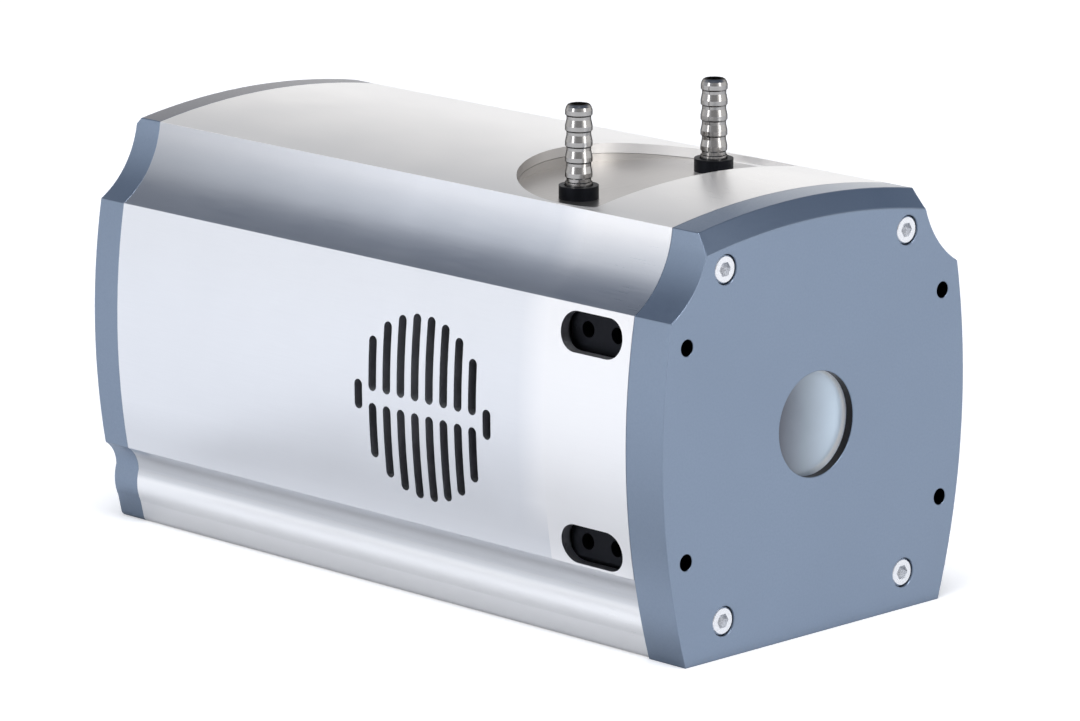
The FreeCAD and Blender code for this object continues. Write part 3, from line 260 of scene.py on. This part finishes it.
def paint_window_reflection(look):
    """A coated, nearly opaque disc with a painted reflection, dark at its left and light at its
    right, and a painted highlight on its rim.
    """
    cloud = look.span(look.noise(60.0), -0.03, 0.03)
    # Painted reflection: dark at the left, light at the right.
    rightward = look.math("POWER", look.across("X", -APERTURE_R, 12.0), 1.5)
    graded = look.math("ADD", rightward, cloud)
    look.feed(look.shader, Base_Color=look.tint(graded, WINDOW_REFLECTION_DARK, WINDOW_REFLECTION_LIGHT),
              Roughness=look.span(look.noise(300.0), 0.30, 0.36), Metallic=0.3,
              Transmission_Weight=0.1, IOR=1.5, Coat_Weight=0.3)
    # Painted highlight on the right half of the rim.
    rim = look.without(look.inside("XZ", (-0.6, 0.6), 14.9, 0.5))
    right_half = look.across("X", 0.0, 8.0)
    look.repaint(look.times(rim, right_half), WINDOW_RIM_HIGHLIGHT)


def paint_plates(look):
    """Painted shade: near-black walls in the front plate's aperture and holes and a darker top
    bevel; painted highlight and reflection: lighter crowns.
    """
    in_front = look.across("Y", MIDDLE_Y, MIDDLE_Y - 1.0)
    # Painted shade: the aperture's wall near black.
    aperture = look.inside("XZ", (0.0, 0.0), APERTURE_R + 0.05, 0.03)
    look.repaint(look.times(in_front, aperture), APERTURE_WALL_SHADE)
    # Painted shade: the walls of the four holes near black.
    for x in (-HOLES_X, HOLES_X):
        for z in (-HOLES_Z, HOLES_Z):
            hole = look.inside("XZ", (x, z), HOLE_R + 0.02, 0.02)
            look.repaint(look.times(in_front, hole), HOLE_WALL_SHADE)

    # Painted shade on the front plate's top bevel, darker to the right.
    high = look.across("Z", BEVEL_FOOT_Z - 0.5, BEVEL_FOOT_Z)
    behind_bevel = look.across("Y", BEVEL_BACK_Y - 0.1, BEVEL_BACK_Y + 0.1)
    behind_face = look.across("Y", 0.05, 0.4)
    bevel = look.times(high, look.without(behind_bevel), behind_face)
    look.repaint(look.times(bevel, look.across("X", -40.0, 30.0)), PLATE_BEVEL_SHADE)

    # Painted highlight on the front plate's crown, lighter to the right.
    crown = look.across("Z", RIDGE_Z, RIDGE_Z + 0.1)
    top_of_front = look.times(look.across("Y", BEVEL_BACK_Y, BEVEL_BACK_Y + 0.2), in_front)
    front_crown = look.times(crown, top_of_front)
    look.repaint(look.times(front_crown, look.across("X", -30.0, 40.0)), PLATE_CROWN_HIGHLIGHT)
    # Painted reflection: the rear plate's crown painted grey.
    at_rear = look.across("Y", REAR_Y, REAR_Y + 1.0)
    look.repaint(look.times(crown, at_rear), PLATE_CROWN_REAR_REFLECTION)


def paint_crown_tone_and_highlight(look):
    """The crown above the ridges is painted warmer and lighter than the sides, with a painted
    highlight that grows to the right.
    """
    crown = look.across("Z", RIDGE_Z - 0.1, RIDGE_Z)
    # Painted highlight: the crown warmer and lighter than the sides, lightest to the right.
    look.repaint(crown, look.tint(look.across("X", -40.0, 15.0), CROWN_LEFT, CROWN_RIGHT_HIGHLIGHT))


def paint_recess_shade(look):
    """The wall of the turned recess in the crown, behind the seam of the two casings, gets a
    painted shade, darkest at the left and lighter to the right, and is duller to the right.
    """
    behind_seam = look.across("Y", SEAM_Y, SEAM_Y + 0.02)
    recess = look.times(behind_seam, look.inside("XY", (0.0, RECESS_Y), RECESS_R + 0.02, 0.02))
    # Painted shade on the recess wall, darkest at the left, lighter to the right.
    look.repaint(recess, look.tint(look.across("X", -35.0, 20.0), RECESS_WALL_SHADED, RECESS_WALL_LIT))
    matt = look.times(recess, look.across("X", 0.0, 35.0))
    look.feed(look.shader, Metallic=look.without(matt))


def paint_casings(rear, front):
    """Bands of painted highlight and painted shade along the two casings, from the rail at the
    bottom up to the cove.
    """
    near_seam = rear.across("Y", SEAM_Y + 11.0, SEAM_Y)
    flat_side = rear.across("Z", SIDE_FOOT_Z - 5.0, SIDE_FOOT_Z + 1.0)
    rear.repaint(rear.times(near_seam, flat_side), SILVER_FRONT)
    front.repaint(front.across("Z", SIDE_FOOT_Z + 1.0, SIDE_FOOT_Z - 5.0), SILVER)
    for look, tone in ((rear, SILVER), (front, SILVER_FRONT)):
        # Painted shade: the flat side darker low down, above its foot.
        above_foot = look.across("Z", SIDE_FOOT_Z - 0.2, SIDE_FOOT_Z + 0.2)
        skirt = look.times(look.across("Z", -22.0, -33.0), above_foot)
        look.repaint(skirt, shade(tone, 0.90))
        # Painted shade in the groove between the flat side's foot and the rail.
        below_foot = look.across("Z", SIDE_FOOT_Z - 0.3, SIDE_FOOT_Z - 3.0)
        groove = look.times(below_foot, look.across("Z", RAIL_Z, RAIL_Z + 4.0))
        look.repaint(groove, SILVER_PAINTED_SHADE)
        # Painted highlight: the rail and all below it lighter.
        look.repaint(look.across("Z", RAIL_Z + 1.5, RAIL_Z), SILVER_RAIL_HIGHLIGHT)
    # Painted shade on the left cove of the rear casing, deepening towards the rear.
    in_cove = rear.across("Z", COVE_FOOT_Z + 0.3, COVE_FOOT_Z + 2.0)
    left_cove = rear.times(in_cove, rear.across("X", 0.0, -2.0))
    rear.repaint(rear.times(left_cove, rear.across("Y", 120.0, 239.0)), shade(SILVER, 0.70))
    for look in (rear, front):
        # Painted shade in the lower part of each cove, darkest at its foot.
        low_in_cove = look.across("Z", COVE_FOOT_Z + 10.0, COVE_FOOT_Z + 1.0)
        cove_foot = look.times(low_in_cove, look.across("Z", COVE_FOOT_Z, COVE_FOOT_Z + 0.3))
        look.repaint(cove_foot, SILVER_PAINTED_SHADE)
        paint_crown_tone_and_highlight(look)
    paint_recess_shade(rear)


def use(node, look):
    materials = NODES[node].data.materials
    materials.clear()
    materials.append(look.material)


def soften(node, edge_shade):
    """Breaks a node's sharp edges, and gives the narrow new faces the look passed in, here a
    painted shade.
    """
    thing = NODES[node]
    materials = thing.data.materials
    materials.append(edge_shade.material)
    thing.data.polygons.foreach_set("use_smooth", [True] * len(thing.data.polygons))
    thing.modifiers.new("weld", "WELD").merge_threshold = 0.002 * MM
    flat = thing.modifiers.new("flat", "DECIMATE")
    flat.decimate_type = "DISSOLVE"
    flat.angle_limit = math.radians(0.4)
    edge = thing.modifiers.new("edge", "BEVEL")
    edge.width = 0.25 * MM
    edge.segments = 2
    edge.limit_method = "ANGLE"
    edge.angle_limit = math.radians(32)
    edge.use_clamp_overlap = False
    edge.material = len(materials) - 1
    thing.modifiers.new("normals", "WEIGHTED_NORMAL").weight = 100


def dress():
    """Gives every node its look, the end plates also their bevelled edges in a painted shade."""
    paint_barbs(LOOKS["barb_nickel"])
    paint_deck_shading(LOOKS["deck_silver"])
    paint_window_reflection(LOOKS["window_glass"])
    paint_plates(LOOKS["plate_blue"])
    front_casing = metal("casing_front", SILVER_FRONT, 0.32, grain=3500.0, stretch=(1, 0.02, 1),
                         depth=0.0006, variation=0.02)
    paint_casings(LOOKS["casing_silver"], front_casing)
    for node, slot in SLOTS.items():
        use(node, LOOKS[slot])
    use("front_housing", front_casing)
    # A darker copy of the plate colour: painted shade on the bevelled edges.
    edge_shade = metal("plate_edge_shaded", shade(PLATE, 0.92), 0.42, grain=1400.0, depth=0.006)
    for node in ("front_plate", "rear_plate"):
        soften(node, edge_shade)


# ---------------------------------------------------------------- floor, light and camera


def link(name, data):
    thing = bpy.data.objects.new(name, data)
    bpy.context.scene.collection.objects.link(thing)
    return thing


def floor_mesh(reach=14.0, rings=6, sides=64):
    """A round floor under the object, in rings that are finer near it."""
    base = CAD_BOX[0].z
    points, faces = [(0, 0, base)], []
    for ring in range(1, rings + 1):
        for side in range(sides):
            angle = math.tau * side / sides
            radius = reach * (ring / rings) ** 2
            points.append((radius * math.cos(angle), radius * math.sin(angle), base))
    for side in range(sides):
        after = (side + 1) % sides
        faces.append((0, 1 + side, 1 + after))
        for ring in range(rings - 1):
            inner, outer = 1 + ring * sides, 1 + (ring + 1) * sides
            faces.append((inner + side, outer + side, outer + after, inner + after))
    mesh = bpy.data.meshes.new("floor")
    mesh.from_pydata(points, [], faces)
    return mesh


def floor_paper():
    """White to the eye. What the casing's sides reflect is a painted shadow along each of them,
    darker bands of floor beside the object.
    """
    paper = Look("floor_paper")
    direct = paper.add("ShaderNodeLightPath").outputs["Is Camera Ray"]
    near, far = 0.055, 0.225
    away = paper.span(paper.math("ABSOLUTE", paper.axis("X")), 0.0, 1.0, near, far)
    tones = ((0.0, 0.56), (0.055, 0.60), (0.11, 0.95), (0.21, 1.0), (0.27, 0.66), (0.50, 0.62),
             (0.95, 1.0))
    # Painted shadow: the floor darker in bands beside the object, in what the object reflects.
    reflected_shadow = paper.ramp(away, [(place, (tone, tone, tone)) for place, tone in tones])
    beyond = paper.math("MAXIMUM", paper.across("Y", 10.0, -5.0), paper.across("Y", 240.0, 265.0))
    beside = paper.math("MAXIMUM", beyond, reflected_shadow)
    lit = paper.math("MAXIMUM", direct, beside)
    seen_glow, mirrored_glow = 0.41, 0.165
    glow = paper.math("MAXIMUM", paper.times(direct, seen_glow),
                      paper.times(beside, mirrored_glow))
    paper.feed(paper.shader, Base_Color=paper.tint(lit, (0.0, 0.0, 0.0), PAPER),
               Roughness=0.9, Specular_IOR_Level=0.0, Emission_Color=(1.0, 1.0, 1.0, 1.0),
               Emission_Strength=glow)
    return paper


def lights():
    """A wide sun overhead, and a tall strip light to each side of the photo's view."""
    sun = bpy.data.lights.new("overhead", "SUN")
    sun.energy, sun.angle = 1.55, math.radians(20)
    link("overhead", sun).rotation_euler = (math.radians(8), math.radians(-10), 0)

    distance, height, tilt = 1.8, 0.5, math.radians(75)
    for name, azimuth in (("strip_left", -99.0), ("strip_right", 9.0)):
        box = bpy.data.lights.new(name, "AREA")
        box.shape, box.size, box.size_y, box.energy = "RECTANGLE", 0.55, 1.6, 9.0
        strip = link(name, box)
        angle = math.radians(azimuth)
        strip.location = (distance * math.sin(angle), -distance * math.cos(angle), height)
        strip.rotation_euler = (tilt, 0, angle)
        strip.visible_camera = False


def sky():
    """A bright horizon under a darker roof, which comes down lower on the left."""
    world = bpy.data.worlds.new("studio")
    bpy.context.scene.world = world
    world.use_nodes = True
    air = Graph(world.node_tree, "Generated")
    height = air.axis("Z")
    right = air.ramp(height, (
        (0.0, (1.06, 1.06, 1.06)), (0.15, (1.06, 1.06, 1.06)), (0.32, (0.92, 0.91, 0.91)),
        (0.47, (0.60, 0.60, 0.62)), (0.62, (0.18, 0.21, 0.27)), (0.78, (0.12, 0.15, 0.21))))
    left = air.ramp(height, (
        (0.0, (1.06, 1.06, 1.06)), (0.06, (0.96, 0.96, 0.97)), (0.15, (0.74, 0.75, 0.79)),
        (0.38, (0.56, 0.59, 0.64)), (0.56, (0.41, 0.445, 0.51)), (0.68, (0.30, 0.335, 0.39)),
        (0.75, (0.16, 0.19, 0.24)), (0.85, (0.12, 0.15, 0.21))))
    leftward = air.span(air.axis("X"), 0.0, 1.0, -0.25, -0.55)
    # A darker patch on the photo's own side gives the barbs their dark middles.
    photo_side, patch_tone = (-0.703, -0.711, 0.0), (0.42, 0.42, 0.43)
    nearness = air.add("ShaderNodeVectorMath", {"operation": "DOT_PRODUCT"}, input0=air.where,
                       input1=photo_side).outputs["Value"]
    patch = air.span(nearness, 0.0, 1.0, 0.78, 0.90)
    air.feed(world.node_tree.nodes["Background"],
             Color=air.tint(patch, air.tint(leftward, right, left), patch_tone))


def camera():
    """The photo's own view, from the perspective fit."""
    azimuth, elevation = math.radians(-44.65), math.radians(13.22)
    back = Vector((math.sin(azimuth) * math.cos(elevation),
                   -math.cos(azimuth) * math.cos(elevation), math.sin(elevation)))
    lens = bpy.data.cameras.new("camera")
    lens.sensor_width, lens.lens = 36.0, 213.2
    lens.clip_start, lens.clip_end = 0.05, 60.0
    eye = link("camera", lens)
    eye.location = (-1.3459, -1.2464, 0.4498)
    eye.rotation_mode = "QUATERNION"
    eye.rotation_quaternion = (-back).to_track_quat("-Z", "Y")
    bpy.context.scene.camera = eye


dress()
floor = link("floor", floor_mesh())
floor.data.materials.append(floor_paper().material)
lights()
sky()
camera()
bpy.context.scene.view_settings.view_transform = "Standard"
